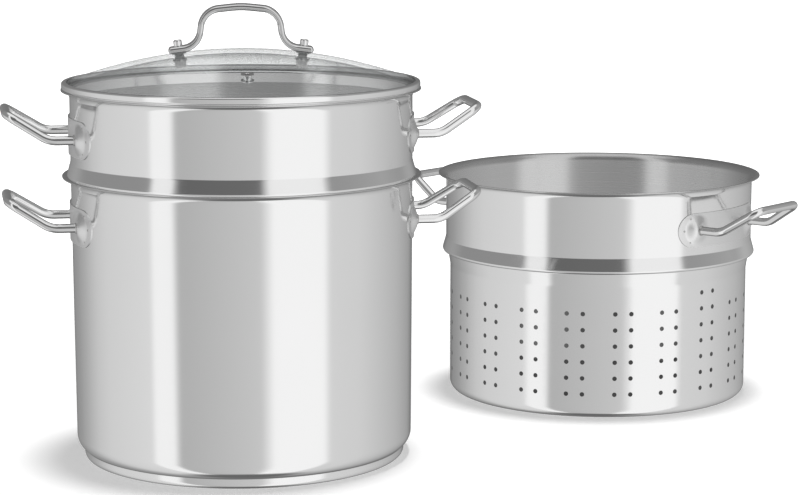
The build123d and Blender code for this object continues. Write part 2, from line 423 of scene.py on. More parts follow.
def facedMesh(name, points, faces, openSheet=False):
    # a mesh whose faces look outwards, or along +X where it is an open sheet
    mesh = bpy.data.meshes.new(name)
    mesh.from_pydata(points, [], faces)
    work = bmesh.new()
    work.from_mesh(mesh)
    if openSheet:
        bmesh.ops.remove_doubles(work, verts=work.verts, dist=mergeDistance)
    bmesh.ops.recalc_face_normals(work, faces=work.faces)
    if openSheet and sum(face.normal.x for face in work.faces) < 0:
        bmesh.ops.reverse_faces(work, faces=work.faces)
    work.to_mesh(mesh)
    work.free()
    return mesh


def finished(name, mesh, material, modifiers=(), sharp=radians(32), inside=None):
    # smooth shading with crisp corners; flat stretches keep their own light
    mesh.materials.clear()
    mesh.materials.append(material)
    if inside:
        mesh.materials.append(inside)
    rough = meshObject(name + "_rough", mesh)
    for kind, settings in modifiers:
        modifier = rough.modifiers.new(kind, kind)
        for setting, value in settings.items():
            setattr(modifier, setting, value)
    solid = evaluatedMesh(rough)
    solid.shade_smooth()
    solid.set_sharp_from_angle(angle=sharp)
    rough.modifiers.clear()
    rough.data = solid
    even = rough.modifiers.new("evenLight", "WEIGHTED_NORMAL")
    even.keep_sharp = True
    final = evaluatedMesh(rough)
    bpy.data.objects.remove(rough)
    final.name = name
    return meshObject(name, final)


def sheetOf(thickness, lined=False):
    # the sheet's thickness goes inwards; a lined one has its second material there
    return ("SOLIDIFY", {
        "thickness": thickness, "offset": -1, "use_even_offset": True,
        "material_offset": int(lined), "material_offset_rim": int(lined),
    })


def settle(piece, place, body, slot, *nodes):
    # moves the mesh to its place and hands the piece to its body
    piece.data.transform(place)
    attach(piece, body)
    if nodes:
        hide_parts(*nodes)
    return piece


def insertPlace(prefix, bearing):
    # where an insert stands, turned so that its right handle lies at the bearing
    low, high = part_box(prefix + "_shell")
    middle = (low + high) / 2
    return Matrix.Translation((middle.x, middle.y, low.z)) @ Matrix.Rotation(bearing, 4, "Z")


standBearing = radians(-49.8)
hungPlace = insertPlace("insert", 0)
standPlace = insertPlace("second_insert", standBearing)


# Geometry Nodes helpers

def newTree(name, sizes):
    # a tree with named inputs, its maker, and its inputs as values
    tree = bpy.data.node_groups.new(name, "GeometryNodeTree")
    tree.interface.new_socket("Geometry", in_out="INPUT", socket_type="NodeSocketGeometry")
    tree.interface.new_socket("Geometry", in_out="OUTPUT", socket_type="NodeSocketGeometry")
    for label, kind in sizes.items():
        tree.interface.new_socket(label, in_out="INPUT", socket_type="NodeSocket" + kind)
    maker = NodeMaker(tree)
    given = maker.add("NodeGroupInput")
    return tree, maker, given


def closeTree(maker, geometry, material):
    real = maker.add("GeometryNodeRealizeInstances", None, {"Geometry": geometry})
    painted = maker.add("GeometryNodeSetMaterial", None, {"Geometry": real, "Material": material})
    maker.add("NodeGroupOutput", None, {"Geometry": painted})


def grownMesh(name, tree, values, base=None):
    # runs a tree on a base mesh and returns its result as a plain mesh
    carrier = meshObject(name, base or bpy.data.meshes.new(name))
    modifier = carrier.modifiers.new(name, "NODES")
    modifier.node_group = tree
    for item in tree.interface.items_tree:
        if item.in_out == "INPUT" and item.name in values:
            modifier[item.identifier] = values[item.name]
    mesh = evaluatedMesh(carrier)
    carrier.modifiers.clear()
    bpy.data.objects.remove(carrier)
    return mesh


potMiddle, hungMiddle, standMiddle = (0, 0, 0), hungPlace.translation, standPlace.translation
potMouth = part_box("pot_shell")[1].z
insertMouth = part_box("second_insert_shell")[1].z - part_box("second_insert_shell")[0].z
potSteel = turnedSteel("potSteel", potMiddle)
hungSteel = turnedSteel("hungInsertSteel", hungMiddle)
standSteel = turnedSteel("standingInsertSteel", standMiddle)
plateSteel = turnedSteel("plateSteel", potMiddle, plateFinish)
potInside = turnedSteel("potInside", potMiddle, insideFinishAndPaintedShade, potMouth)
hungInside = turnedSteel("hungInsertInside", hungMiddle, insideFinishAndPaintedShade, insertMouth)
standInside = turnedSteel("standingInsertInside", standMiddle, insideFinishAndPaintedShade, insertMouth)
rodSteel = polishedSteel("rodSteel")
nutSteel = polishedSteel("nutSteel", nutFinish)
strapSteel = polishedSteel("strapSteel", strapFinish)
jointSteel = weldSteel()
lidGlassMaterial = clearGlass()
print("materials made")


# Pot: drawn shell and the cap of its sandwich base

potSizes = {
    "wallRadius": 0.1208,
    "handleWall": 0.12068,  # the wall's radius at its handles
    "footRadius": 0.1195,
    "corner": 0.011,
    "sheet": 0.0008,
    "lipReach": 0.006,
    "lipBend": 0.0052,
    "capRadius": 0.1143,
    "capEdge": 0.004,
    "capSheet": 0.0006,
    "segments": 300,
}


def makePot(sizes=potSizes):
    around = evenAngles(sizes["segments"])
    low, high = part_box("pot_shell")
    wall, lipHeight = sizes["wallRadius"], high.z - sizes["sheet"]
    corners = [
        (0, low.z), (sizes["footRadius"], low.z),
        (wall, lipHeight), (wall + sizes["lipReach"], lipHeight),
    ]
    mesh = outlineMesh("potShell", corners, [sizes["corner"], sizes["lipBend"]], around)
    shell = finished("potShell", mesh, potSteel, [sheetOf(sizes["sheet"], True)], inside=potInside)
    shell.visible_glossy = False
    settle(shell, Matrix.Identity(4), "pot", "satin_steel", "pot_shell")

    corners = [(0, 0), (sizes["capRadius"], 0), (sizes["capRadius"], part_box("base_cap")[1].z)]
    mesh = outlineMesh("baseCap", corners, [sizes["capEdge"]], around)
    cap = finished("baseCap", mesh, potSteel, [sheetOf(sizes["capSheet"])])
    cap.visible_glossy = False
    settle(cap, Matrix.Identity(4), "pot", "satin_steel", "base_cap")


makePot()
print("pot made")


# Inserts: perforated basket, tuck and bead, plain band, pouring lip

insertSizes = {
    "height": 0.174,
    "sheet": 0.0008,
    "bandRadius": 0.1208,
    "basketRadius": 0.1173,
    "basketCorner": 0.0075,
    "beadHeight": 0.112,
    "beadRadius": 0.124,
    "beadEdge": 0.002,
    "beadFlare": 0.0115,
    "beadFlareBend": 0.005,
    "tuckRadius": 0.1192,
    "tuckBend": 0.0012,
    "tuckHeight": 0.011,
    "tuckEase": 0.012,
    "lipReach": 0.00598,
    "lipBend": 0.0052,
    "holeRadius": 0.00175,
    "cellHeight": 0.0124,
    "firstRow": 0.0188,
    "rows": 7,
    "columns": 60,
    "cellSteps": 6,
    "cellRings": 3,
    "floorHoleSides": 24,
    "floorRing": 0.028,
    "floorRings": 3,
}


def cellAngles(sizes):
    # the angles at which the cells of the drain wall have their edge points
    cell = 2 * pi / sizes["columns"]
    half = sizes["cellSteps"] // 2
    angles = []
    for column in range(1, sizes["columns"] + 1):
        for step in range(-half, half):
            angles.append(cell * (column + tan(pi / 4 * step / half) / 2))
    return angles


def drainWallTree(sizes):
    # a flat sheet of square cells, in pairs of holed columns with a blank one between, bent to the wall
    tree, maker, given = newTree("drainWall", {
        "Columns": "Int", "Rows": "Int", "Cell Width": "Float", "Cell Height": "Float",
        "First Row": "Float", "Hole Radius": "Float", "Wall Radius": "Float", "Material": "Material",
    })
    columns, rows = given.out("Columns"), given.out("Rows")
    width, height = given.out("Cell Width"), given.out("Cell Height")
    spots = maker.add("GeometryNodeMeshGrid", None, {
        "Size X": (columns - 1) * width, "Size Y": (rows - 1) * height,
        "Vertices X": columns, "Vertices Y": rows,
    })
    shift = maker.add("ShaderNodeCombineXYZ", None, {
        "X": (columns + 1) * width / 2, "Y": (rows - 1) * height / 2 + given.out("First Row"),
    })
    spots = maker.add("GeometryNodeSetPosition", None, {"Geometry": spots, "Offset": shift})

    x, y, z = maker.split(maker.add("GeometryNodeInputPosition"))
    column = (x / width).maths("ROUND")
    row = ((y - given.out("First Row")) / height).maths("ROUND")
    inPair = column.maths("MODULO", 3) > 0.5
    # the top row has holes in the last pair alone
    lowRow = row < rows - 1.5
    lastPair = column > columns - 2.5
    holed = inPair * (lowRow + lastPair)

    # a holed cell is a ring of faces from the hole to the square
    cone = maker.add("GeometryNodeMeshCone", {"fill_type": "NONE"}, {
        "Vertices": 4 * sizes["cellSteps"], "Side Segments": sizes["cellRings"],
        "Radius Top": 0.5, "Radius Bottom": 1.0, "Depth": 1.0,
    })
    reach = (x * x + y * y).maths("SQRT")
    across, up = x / reach, y / reach
    square = 1 / across.maths("ABSOLUTE").maths("MAXIMUM", up.maths("ABSOLUTE"))
    hole = given.out("Hole Radius")
    # the cone's height says how far in a ring lies
    ringX = across * (hole * z + square * width / 2 * (1 - z))
    ringY = up * (hole * z + square * height / 2 * (1 - z))
    ring = maker.add("ShaderNodeCombineXYZ", None, {"X": ringX, "Y": ringY})
    holedCell = maker.add("GeometryNodeSetPosition", None, {
        "Geometry": cone.out("Mesh"), "Position": ring,
    })

    # a blank cell has its edge points at the same places
    edgePoints = sizes["cellSteps"] + 1
    blank = maker.add("GeometryNodeMeshGrid", None, {
        "Size X": 2, "Size Y": 2, "Vertices X": edgePoints, "Vertices Y": edgePoints,
    })
    blankX = (x * (pi / 4)).maths("TANGENT") * width / 2
    blankY = (y * (pi / 4)).maths("TANGENT") * height / 2
    spread = maker.add("ShaderNodeCombineXYZ", None, {"X": blankX, "Y": blankY})
    blankCell = maker.add("GeometryNodeSetPosition", None, {"Geometry": blank, "Position": spread})

    holedCells = maker.add("GeometryNodeInstanceOnPoints", None, {
        "Points": spots, "Selection": holed, "Instance": holedCell,
    })
    blankCells = maker.add("GeometryNodeInstanceOnPoints", None, {
        "Points": spots, "Selection": 1 - holed, "Instance": blankCell,
    })
    sheet = maker.add("GeometryNodeJoinGeometry", None, {"Geometry": [holedCells, blankCells]})
    sheet = maker.add("GeometryNodeRealizeInstances", None, {"Geometry": sheet})
    wall = given.out("Wall Radius")
    angle = x / wall
    bent = maker.add("ShaderNodeCombineXYZ", None, {
        "X": angle.maths("COSINE") * wall, "Y": angle.maths("SINE") * wall, "Z": y,
    })
    sheet = maker.add("GeometryNodeSetPosition", None, {"Geometry": sheet, "Position": bent})
    sheet = maker.add("GeometryNodeMergeByDistance", None, {
        "Geometry": sheet, "Distance": mergeDistance,
    })
    closeTree(maker, sheet, given.out("Material"))
    return tree


def drainFloorTree(sizes):
    # fills a ring of edges with a flat floor that has rings of round holes
    tree, maker, given = newTree("drainFloor", {
        "Hole Radius": "Float", "Ring Spacing": "Float", "Material": "Material",
    })
    edge = maker.add("GeometryNodeMeshToCurve", None, {"Mesh": given.out("Geometry")})
    hole = maker.add("GeometryNodeCurvePrimitiveCircle", None, {
        "Resolution": sizes["floorHoleSides"], "Radius": given.out("Hole Radius"),
    })
    curves = [edge, hole]
    for ring in range(1, sizes["floorRings"] + 1):
        circle = maker.add("GeometryNodeCurvePrimitiveCircle", None, {
            "Resolution": 6 * ring, "Radius": given.out("Ring Spacing") * ring,
        })
        spots = maker.add("GeometryNodeCurveToPoints", {"mode": "EVALUATED"}, {"Curve": circle})
        holes = maker.add("GeometryNodeInstanceOnPoints", None, {"Points": spots, "Instance": hole})
        curves.append(maker.add("GeometryNodeRealizeInstances", None, {"Geometry": holes}))
    outline = maker.add("GeometryNodeJoinGeometry", None, {"Geometry": curves})
    floor = maker.add("GeometryNodeFillCurve", None, {"Curve": outline})
    floor = maker.add("GeometryNodeFlipFaces", None, {"Mesh": floor})
    closeTree(maker, floor, given.out("Material"))
    return tree


drainWall = drainWallTree(insertSizes)
drainFloor = drainFloorTree(insertSizes)


def makeInsertShell(name, place, material, inside, body, node, sizes=insertSizes):
    angles = cellAngles(sizes)
    wallStart = sizes["firstRow"] - sizes["cellHeight"] / 2
    wallEnd = wallStart + sizes["rows"] * sizes["cellHeight"]
    basket, band, bead = sizes["basketRadius"], sizes["bandRadius"], sizes["beadHeight"]
    floorEdge = basket - 2 * sizes["basketCorner"]
    lipHeight = sizes["height"] - sizes["sheet"]
    corners = [(floorEdge, 0), (basket, 0), (basket, wallStart)]
    low = outlineMesh("lowSkin", corners, [sizes["basketCorner"]], angles)
    corners = [
        (basket, wallEnd), (basket, bead - sizes["tuckHeight"]), (sizes["tuckRadius"], bead),
        (sizes["beadRadius"], bead), (band, bead + sizes["beadFlare"]),
        (band, lipHeight), (band + sizes["lipReach"], lipHeight),
    ]
    bends = [sizes[bend] for bend in ("tuckEase", "tuckBend", "beadEdge", "beadFlareBend", "lipBend")]
    high = outlineMesh("highSkin", corners, bends, angles)
    wall = grownMesh("wallSkin", drainWall, {
        "Columns": sizes["columns"],
        "Rows": sizes["rows"],
        "Cell Width": 2 * pi * basket / sizes["columns"],
        "Cell Height": sizes["cellHeight"],
        "First Row": sizes["firstRow"],
        "Hole Radius": sizes["holeRadius"],
        "Wall Radius": basket,
        "Material": material,
    })
    edge = bpy.data.meshes.new("floorEdge")
    spots = [(floorEdge * cos(angle), floorEdge * sin(angle), 0) for angle in angles]
    edge.from_pydata(spots, [(step, (step + 1) % len(spots)) for step in range(len(spots))], [])
    floor = grownMesh("floorSkin", drainFloor, {
        "Hole Radius": sizes["holeRadius"], "Ring Spacing": sizes["floorRing"], "Material": material,
    }, edge)
    skin = joinedMesh(name, [floor, low, wall, high])
    shell = finished(name, skin, material, [sheetOf(sizes["sheet"], True)], inside=inside)
    shell.visible_glossy = False
    settle(shell, place, body, "satin_steel", node)
    print(name, len(shell.data.polygons), "faces")


makeInsertShell("hungInsert", hungPlace, hungSteel, hungInside, "insert", "insert_shell")
makeInsertShell(
    "standingInsert", standPlace, standSteel, standInside, "second_insert", "second_insert_shell",
)
print("inserts made")


# Side handles: bent rod, pressed plate, weld rings and spot welds

handleSizes = {
    "rodRadius": 0.0032,
    "rodSpread": 0.068,
    "levelReach": 0.0162,
    "gripReach": 0.04468,
    "gripRise": 0.0178,
    "gripSpread": 0.056,
    "rodBend": 0.018,
    "rodStep": radians(6),
    "rodRoundness": 8,
    "gripBend": 0.010,
    "plateSheet": 0.0012,
    "plateWidth": 0.103,
    "plateHeight": 0.026,
    "bossRadius": 0.0036,
    "bossFoot": 0.0124,
    "bossHeight": 0.0026,
    "weldRadius": 0.0008,
    "weldTop": 0.4,  # shares of its radius
    "weldBend": 0.3,
    "weldSegments": 28,
    "markRadius": 0.0009,
    "markDepth": 0.0003,
    "markSegments": 14,
    "markRings": 7,
    "markPlaces": ((0.0468, 0), (0.0415, 0.0088), (0.0415, -0.0088)),
    "wallGap": 0.00005,
    "outlineSteps": 60,
    "plateRings": 20,
}


def sweptRod(name, path, radius, material):
    # a round rod along a path
    curve = bpy.data.curves.new(name, "CURVE")
    curve.dimensions = "3D"
    spline = curve.splines.new("POLY")
    spline.points.add(len(path) - 1)
    for point, spot in zip(spline.points, path):
        point.co = (*spot, 1)
    curve.bevel_depth = radius
    curve.bevel_resolution = handleSizes["rodRoundness"]
    curve.use_fill_caps = True
    carrier = meshObject(name, curve)
    mesh = evaluatedMesh(carrier)
    bpy.data.objects.remove(carrier)
    return finished(name, mesh, material, sharp=radians(50))


def plateMesh(name, wall, bossFace, sizes):
    # rings of a stadium outline laid on the wall, and raised to a flat boss under each rod end
    radius = sizes["plateHeight"] / 2
    straight = sizes["plateWidth"] / 2 - radius
    steps = sizes["outlineSteps"]
    outline = []
    for side in (1, -1):
        for step in range(steps):
            angle = -pi / 2 + pi * step / (steps - 1)
            outline.append(((side * straight, 0), (side * cos(angle), side * sin(angle))))
        for step in range(1, steps):
            along = side * straight * (1 - 2 * step / steps)
            outline.append(((along, 0), (0, side)))
    points = []
    for ring in range(sizes["plateRings"] + 1):
        share = ring / sizes["plateRings"]
        for (coreY, coreZ), (outY, outZ) in outline:
            y, z = coreY + outY * radius * share, coreZ + outZ * radius * share
            skin = sqrt(wall**2 - y**2)
            apart = sqrt((abs(y) - sizes["rodSpread"] / 2) ** 2 + z**2)
            rise = (sizes["bossFoot"] - apart) / (sizes["bossFoot"] - sizes["bossRadius"])
            rise = min(max(rise, 0), 1)
            rise = rise * rise * (3 - 2 * rise)
            points.append((skin + (bossFace - skin) * rise, y, z))
    count = len(outline)
    faces = []
    for ring in range(sizes["plateRings"]):
        for step in range(count):
            after = (step + 1) % count
            low, high = ring * count, (ring + 1) * count
            faces.append((low + step, high + step, high + after, low + after))
    return facedMesh(name, points, faces, openSheet=True)


def spotWeldTree(sizes):
    # a shallow dimple on each point, facing straight out of the wall
    tree, maker, given = newTree("spotWelds", {
        "Mark Radius": "Float", "Mark Depth": "Float", "Material": "Material",
    })
    dome = maker.add("GeometryNodeMeshUVSphere", None, {
        "Segments": sizes["markSegments"], "Rings": sizes["markRings"], "Radius": 1.0,
    })
    size = maker.add("ShaderNodeCombineXYZ", None, {
        "X": given.out("Mark Radius"), "Y": given.out("Mark Radius"), "Z": given.out("Mark Depth"),
    })
    outward = maker.add("ShaderNodeVectorMath", {"operation": "MULTIPLY"}, {
        0: maker.add("GeometryNodeInputPosition"), 1: (1, 1, 0),
    })
    facing = maker.add("FunctionNodeAlignRotationToVector", {"axis": "Z"}, {"Vector": outward})
    marks = maker.add("GeometryNodeInstanceOnPoints", None, {
        "Points": given.out("Geometry"), "Instance": dome, "Rotation": facing, "Scale": size,
    })
    closeTree(maker, marks, given.out("Material"))
    return tree


spotWelds = spotWeldTree(handleSizes)


def makeHandle(body, side, wall, place, sizes=handleSizes):
    # everything is made for a handle on +X, with its rod ends at height 0
    outer = wall + sizes["plateSheet"]
    half = sizes["rodSpread"] / 2
    bossFace = sqrt(outer**2 - half**2) + sizes["bossHeight"]
    corner = (wall + sizes["levelReach"], half, 0)
    grip = (wall + sizes["gripReach"], sizes["gripSpread"] / 2, sizes["gripRise"])
    path = bentPath(
        [
            (bossFace, half, 0), corner, grip,
            (grip[0], -grip[1], grip[2]), (corner[0], -half, 0), (bossFace, -half, 0),
        ],
        [sizes["rodBend"], sizes["gripBend"], sizes["gripBend"], sizes["rodBend"]],
        sizes["rodStep"],
    )
    label = body.replace("_", "") + side.capitalize()
    rod = sweptRod(label + "Rod", path, sizes["rodRadius"], rodSteel)
    rod.visible_shadow = False
    settle(rod, place, body, "polished_steel", f"{body}_handle_{side}")

    sheet = plateMesh(label + "Plate", outer + sizes["wallGap"], bossFace, sizes)
    pressing = [sheetOf(sizes["plateSheet"])]
    plate = finished(label + "Plate", sheet, plateSteel, pressing, sharp=radians(60))
    plate.visible_glossy = False
    settle(plate, place, body, "satin_steel", f"{body}_handle_plate_{side}")

    # weld rings where the rod meets the bosses
    thick, inner = sizes["weldRadius"], sizes["rodRadius"]
    corners = [
        (inner, 0), (inner + thick, 0), (inner + thick * sizes["weldTop"], thick), (inner, thick),
    ]
    bends = [thick * sizes["weldBend"]] * 2
    ring = outlineMesh("weldRing", corners, bends, evenAngles(sizes["weldSegments"]), closed=True)
    rings = []
    for y in (half, -half):
        rings.append(ring.copy())
        rings[-1].transform(Matrix.Translation((bossFace, y, 0)) @ Matrix.Rotation(pi / 2, 4, "Y"))
    welds = finished(label + "Welds", joinedMesh("weldRings", rings), jointSteel)
    settle(welds, place, body, "satin_steel")

    # three spot welds at each end of the plate
    spots = bpy.data.meshes.new("weldSpots")
    skin = outer + sizes["wallGap"]
    places = [(sqrt(skin**2 - y**2), y * way, z) for y, z in sizes["markPlaces"] for way in (1, -1)]
    spots.from_pydata(places, [], [])
    marks = grownMesh("spotMarks", spotWelds, {
        "Mark Radius": sizes["markRadius"], "Mark Depth": sizes["markDepth"], "Material": jointSteel,
    }, spots)
    mark = finished(label + "SpotWelds", marks, jointSteel)
    settle(mark, place, body, "satin_steel")


for body, shellPlace, wall in (
    ("pot", Matrix.Identity(4), potSizes["handleWall"]),
    ("insert", hungPlace, insertSizes["bandRadius"]),
    ("second_insert", standPlace, insertSizes["bandRadius"]),
):
    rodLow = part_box(body + "_handle_right")[0].z
    level = rodLow + handleSizes["rodRadius"] - shellPlace.translation.z
    for side, turn in (("right", 0), ("left", pi)):
        spot = shellPlace @ Matrix.Translation((0, 0, level)) @ Matrix.Rotation(turn, 4, "Z")
        makeHandle(body, side, wall, spot)
print("side handles made")


# Lid: domed glass in a rolled rim, vent, strap handle and its screws

lidSizes = {
    "turn": radians(-6),
    "rimRadius": 0.1263,
    "rimHeight": 0.0048,
    "rimSheet": 0.0005,
    "rimBend": 0.0012,
    "glassReach": 0.1228,
    "glassRadius": 0.1257,
    "glassEdge": 0.0008,
    "glassThickness": 0.0036,
    "glassTop": 0.0042,
    "glassRise": 0.022,
    "skirtRadius": 0.1188,
    "skirtDepth": 0.008,
    "segments": 300,
    "domeSteps": 28,
    "ventPlace": 0.084,
    "ventBearing": radians(-88),
    "ventBore": 0.0016,
    "ventTube": 0.003,
    "ventFlange": 0.0046,
    "ventSheet": 0.0007,
    "ventBends": (0.3, 0.3, 0.2, 0.05, 0.05, 0.2, 0.3, 0.6),  # shares of its sheet
    "ventSegments": 40,
    "screwPlace": 0.0435,
    "boreRadius": 0.00325,
    "boreSegments": 48,
    "weldGap": 0.00005,
    "strapWidth": 0.016,
    "strapThickness": 0.0045,
    "strapEdge": 0.0020,
    "strapEdgeSteps": 4,
    "strapTip": 0.005,
    "strapFoot": 0.014,
    "strapLeg": 0.0265,
    "strapLegRise": 0.0255,
    "strapRise": 0.0282,
    "strapBends": (0.0135, 0.014, 0.060, 0.014, 0.0135),
    "strapStep": radians(4),
    "strapTipSteps": 8,
    "grommetSheet": 0.001,
    "screwHeadRadius": 0.0031,
    "screwHeadHeight": 0.0044,
    "screwHeadEdge": 0.0012,
    "screwShank": 0.002,
    "screwBends": (0.2, 0.05, 0.1),  # shares of its shank
    "screwReach": 0.0083,
    "screwSegments": 32,
}
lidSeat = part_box("lid_rim")[0].z + lidSizes["skirtDepth"]
lidPlace = Matrix.Translation((0, 0, lidSeat)) @ Matrix.Rotation(lidSizes["turn"], 4, "Z")
crown = lidSizes["glassTop"] + lidSizes["glassRise"]
domeRadius = (lidSizes["glassReach"] ** 2 + lidSizes["glassRise"] ** 2) / (2 * lidSizes["glassRise"])
lidSteel = turnedSteel("lidSteel", (0, 0, 0))


def domeHeight(radius, depth=0):
    # height of the glass at a radius, on top or at a depth inside it
    bend = domeRadius - depth
    return crown - domeRadius + sqrt(bend**2 - radius**2)


def onDome(bearing, place):
    # a frame on the glass, its Z square to it
    lean = asin(place / domeRadius)
    spot = Matrix.Translation((place, 0, domeHeight(place)))
    return lidPlace @ Matrix.Rotation(bearing, 4, "Z") @ spot @ Matrix.Rotation(lean, 4, "Y")


def makeRim(sizes=lidSizes):
    skirt, outer, top = sizes["skirtRadius"], sizes["rimRadius"], sizes["rimHeight"]
    corners = [
        (skirt, -sizes["skirtDepth"]), (skirt, 0), (outer, 0), (outer, top), (sizes["glassReach"], top),
    ]
    mesh = outlineMesh("lidRim", corners, [sizes["rimBend"]] * 3, evenAngles(sizes["segments"]))
    rim = finished("lidRim", mesh, lidSteel, [sheetOf(sizes["rimSheet"])])
    settle(rim, lidPlace, "lid", "polished_steel", "lid_rim")


def makeGlass(sizes=lidSizes):
    steps = sizes["domeSteps"]
    reach, radius, edge = sizes["glassReach"], sizes["glassRadius"], sizes["glassEdge"]
    thick, top = sizes["glassThickness"], sizes["glassTop"]
    rings = [reach * step / steps for step in range(steps + 1)]
    under = [(ring, domeHeight(ring) - thick) for ring in rings]
    over = [(ring, domeHeight(ring)) for ring in reversed(rings)]
    border = [
        (radius - edge, top - thick), (radius, top - thick + edge),
        (radius, top - edge), (radius - edge, top),
    ]
    mesh = turnedMesh("lidGlass", under + border + over, evenAngles(sizes["segments"]))

    # bores for the two screws and the vent
    cutters = []
    length = 3 * thick
    for bearing, place, bore in (
        (0, sizes["screwPlace"], sizes["boreRadius"]),
        (pi, sizes["screwPlace"], sizes["boreRadius"]),
        (sizes["ventBearing"], sizes["ventPlace"], sizes["ventTube"] + sizes["weldGap"]),
    ):
        wall = [(0, -length), (bore, -length), (bore, length), (0, length)]
        cutter = turnedMesh("boreCutter", wall, evenAngles(sizes["boreSegments"]))
        cutter.transform(lidPlace.inverted() @ onDome(bearing, place))
        cutters.append(cutter)
    cutting = meshObject("boreCutters", joinedMesh("boreCutters", cutters))
    glass = finished("lidGlass", mesh, lidGlassMaterial, [
        ("BOOLEAN", {"object": cutting, "operation": "DIFFERENCE", "solver": "EXACT"}),
    ])
    bpy.data.objects.remove(cutting)
    settle(glass, lidPlace, "lid", "clear_glass", "lid_glass")


def makeVent(sizes=lidSizes):
    under = -sizes["glassThickness"] - sizes["weldGap"]
    sheet, flange, tube = sizes["ventSheet"], sizes["ventFlange"], sizes["ventTube"]
    bore = sizes["ventBore"]
    corners = [
        (bore, 0), (bore, under - sheet), (flange, under - sheet), (flange, under),
        (tube, under), (tube, 0), (flange, 0), (flange, sheet), (bore, sheet), (bore, 0),
    ]
    bends = [sheet * share for share in sizes["ventBends"]]
    mesh = outlineMesh("lidVent", corners, bends, evenAngles(sizes["ventSegments"]), closed=True)
    vent = finished("lidVent", mesh, rodSteel)
    place = onDome(sizes["ventBearing"], sizes["ventPlace"])
    settle(vent, place, "lid", "polished_steel", "lid_vent_eyelet")


def makeStrap(sizes=lidSizes):
    # an outline either side of the strap's middle line, as wide as the strap
    lean = asin(sizes["screwPlace"] / domeRadius)
    lift = domeRadius + sizes["grommetSheet"] + sizes["strapThickness"] / 2
    across, up = lift * sin(lean), crown - domeRadius + lift * cos(lean)
    tip = (across + sizes["strapTip"] * cos(lean), 0, up - sizes["strapTip"] * sin(lean))
    foot = (across - sizes["strapFoot"] * cos(lean), 0, up + sizes["strapFoot"] * sin(lean))
    leg = (sizes["strapLeg"], 0, foot[2] + sizes["strapLegRise"])
    top = (0, 0, foot[2] + sizes["strapRise"])
    mirrored = [(-x, y, z) for x, y, z in (tip, foot, leg)]
    path = bentPath([*mirrored, top, leg, foot, tip], sizes["strapBends"], sizes["strapStep"])
    half = sizes["strapThickness"] / 2
    left, right = [], []
    for index, point in enumerate(path):
        before = path[max(index - 1, 0)]
        after = path[min(index + 1, len(path) - 1)]
        along = (after - before).normalized()
        aside = Vector((-along.z, 0, along.x)) * half
        left.append(point + aside)
        right.append(point - aside)
    # half-round ends
    caps = []
    steps = sizes["strapTipSteps"]
    turns = [pi * step / steps for step in range(1, steps)]
    for end, inner in ((path[-1], path[-2]), (path[0], path[1])):
        way = (end - inner).normalized()
        aside = Vector((-way.z, 0, way.x))
        caps.append([end + (aside * cos(angle) + way * sin(angle)) * half for angle in turns])
    outline = left + caps[0] + right[::-1] + caps[1]
    count = len(outline)
    width = sizes["strapWidth"] / 2
    points = [Vector((point.x, side * width, point.z)) for side in (-1, 1) for point in outline]
    faces = [tuple(range(count)), tuple(reversed(range(count, 2 * count)))]
    for step in range(count):
        after = (step + 1) % count
        faces.append((step, step + count, after + count, after))
    mesh = facedMesh("lidStrap", points, faces)
    edge = {
        "width": sizes["strapEdge"], "segments": sizes["strapEdgeSteps"],
        "limit_method": "ANGLE", "angle_limit": radians(60),
    }
    strap = finished("lidStrap", mesh, strapSteel, [("BEVEL", edge)], sharp=radians(50))
    settle(strap, lidPlace, "lid", "polished_steel", "lid_handle")


def screwPairTree():
    # the same screw on both sides of the lid's middle, square to the dome
    tree, maker, given = newTree("screwPair", {
        "Place": "Float", "Height": "Float", "Lean": "Float", "Material": "Material",
    })
    place, height = given.out("Place"), given.out("Height")
    start = maker.add("ShaderNodeCombineXYZ", None, {"X": -1 * place, "Z": height})
    end = maker.add("ShaderNodeCombineXYZ", None, {"X": place, "Z": height})
    pair = maker.add("GeometryNodeMeshLine", {"mode": "END_POINTS"}, {
        "Count": 2, "Start Location": start, "Offset": end,
    })
    x = maker.split(maker.add("GeometryNodeInputPosition"))[0]
    lean = maker.add("ShaderNodeCombineXYZ", None, {"Y": x / place * given.out("Lean")})
    screws = maker.add("GeometryNodeInstanceOnPoints", None, {
        "Points": pair, "Instance": given.out("Geometry"), "Rotation": lean,
    })
    closeTree(maker, screws, given.out("Material"))
    return tree


def makeScrews(sizes=lidSizes):
    seat = sizes["grommetSheet"] + sizes["strapThickness"]
    head, shank, edge = sizes["screwHeadRadius"], sizes["screwShank"], sizes["screwHeadEdge"]
    end, top = -sizes["screwReach"], seat + sizes["screwHeadHeight"]
    corners = [(0, end), (shank, end), (shank, seat), (head, seat), (head, top), (0, top)]
    bends = [shank * share for share in sizes["screwBends"]] + [edge]
    screw = outlineMesh("screw", corners, bends, evenAngles(sizes["screwSegments"]))
    place = sizes["screwPlace"]
    mesh = grownMesh("lidScrews", screwPairTree(), {
        "Place": place,
        "Height": domeHeight(place),
        "Lean": asin(place / domeRadius),
        "Material": rodSteel,
    }, screw)
    screws = finished("lidScrews", mesh, rodSteel)
    settle(screws, lidPlace, "lid", "polished_steel", "lid_screws")


makeRim()
makeGlass()
makeVent()
makeStrap()
makeScrews()
print("lid made")


# CAD nodes that keep their shape get a finish here
for node, finish in (
    ("base_core", castAluminium()),
    ("lid_grommets", silicone()),
    ("lid_washers", nutSteel),
    ("lid_nuts", nutSteel),
):
    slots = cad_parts[node].data.materials
    slots.clear()
    slots.append(finish)
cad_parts["base_core"].visible_glossy = False


# Studio: pale floor, a soft lamp on the right, and a surround for the steel to reflect

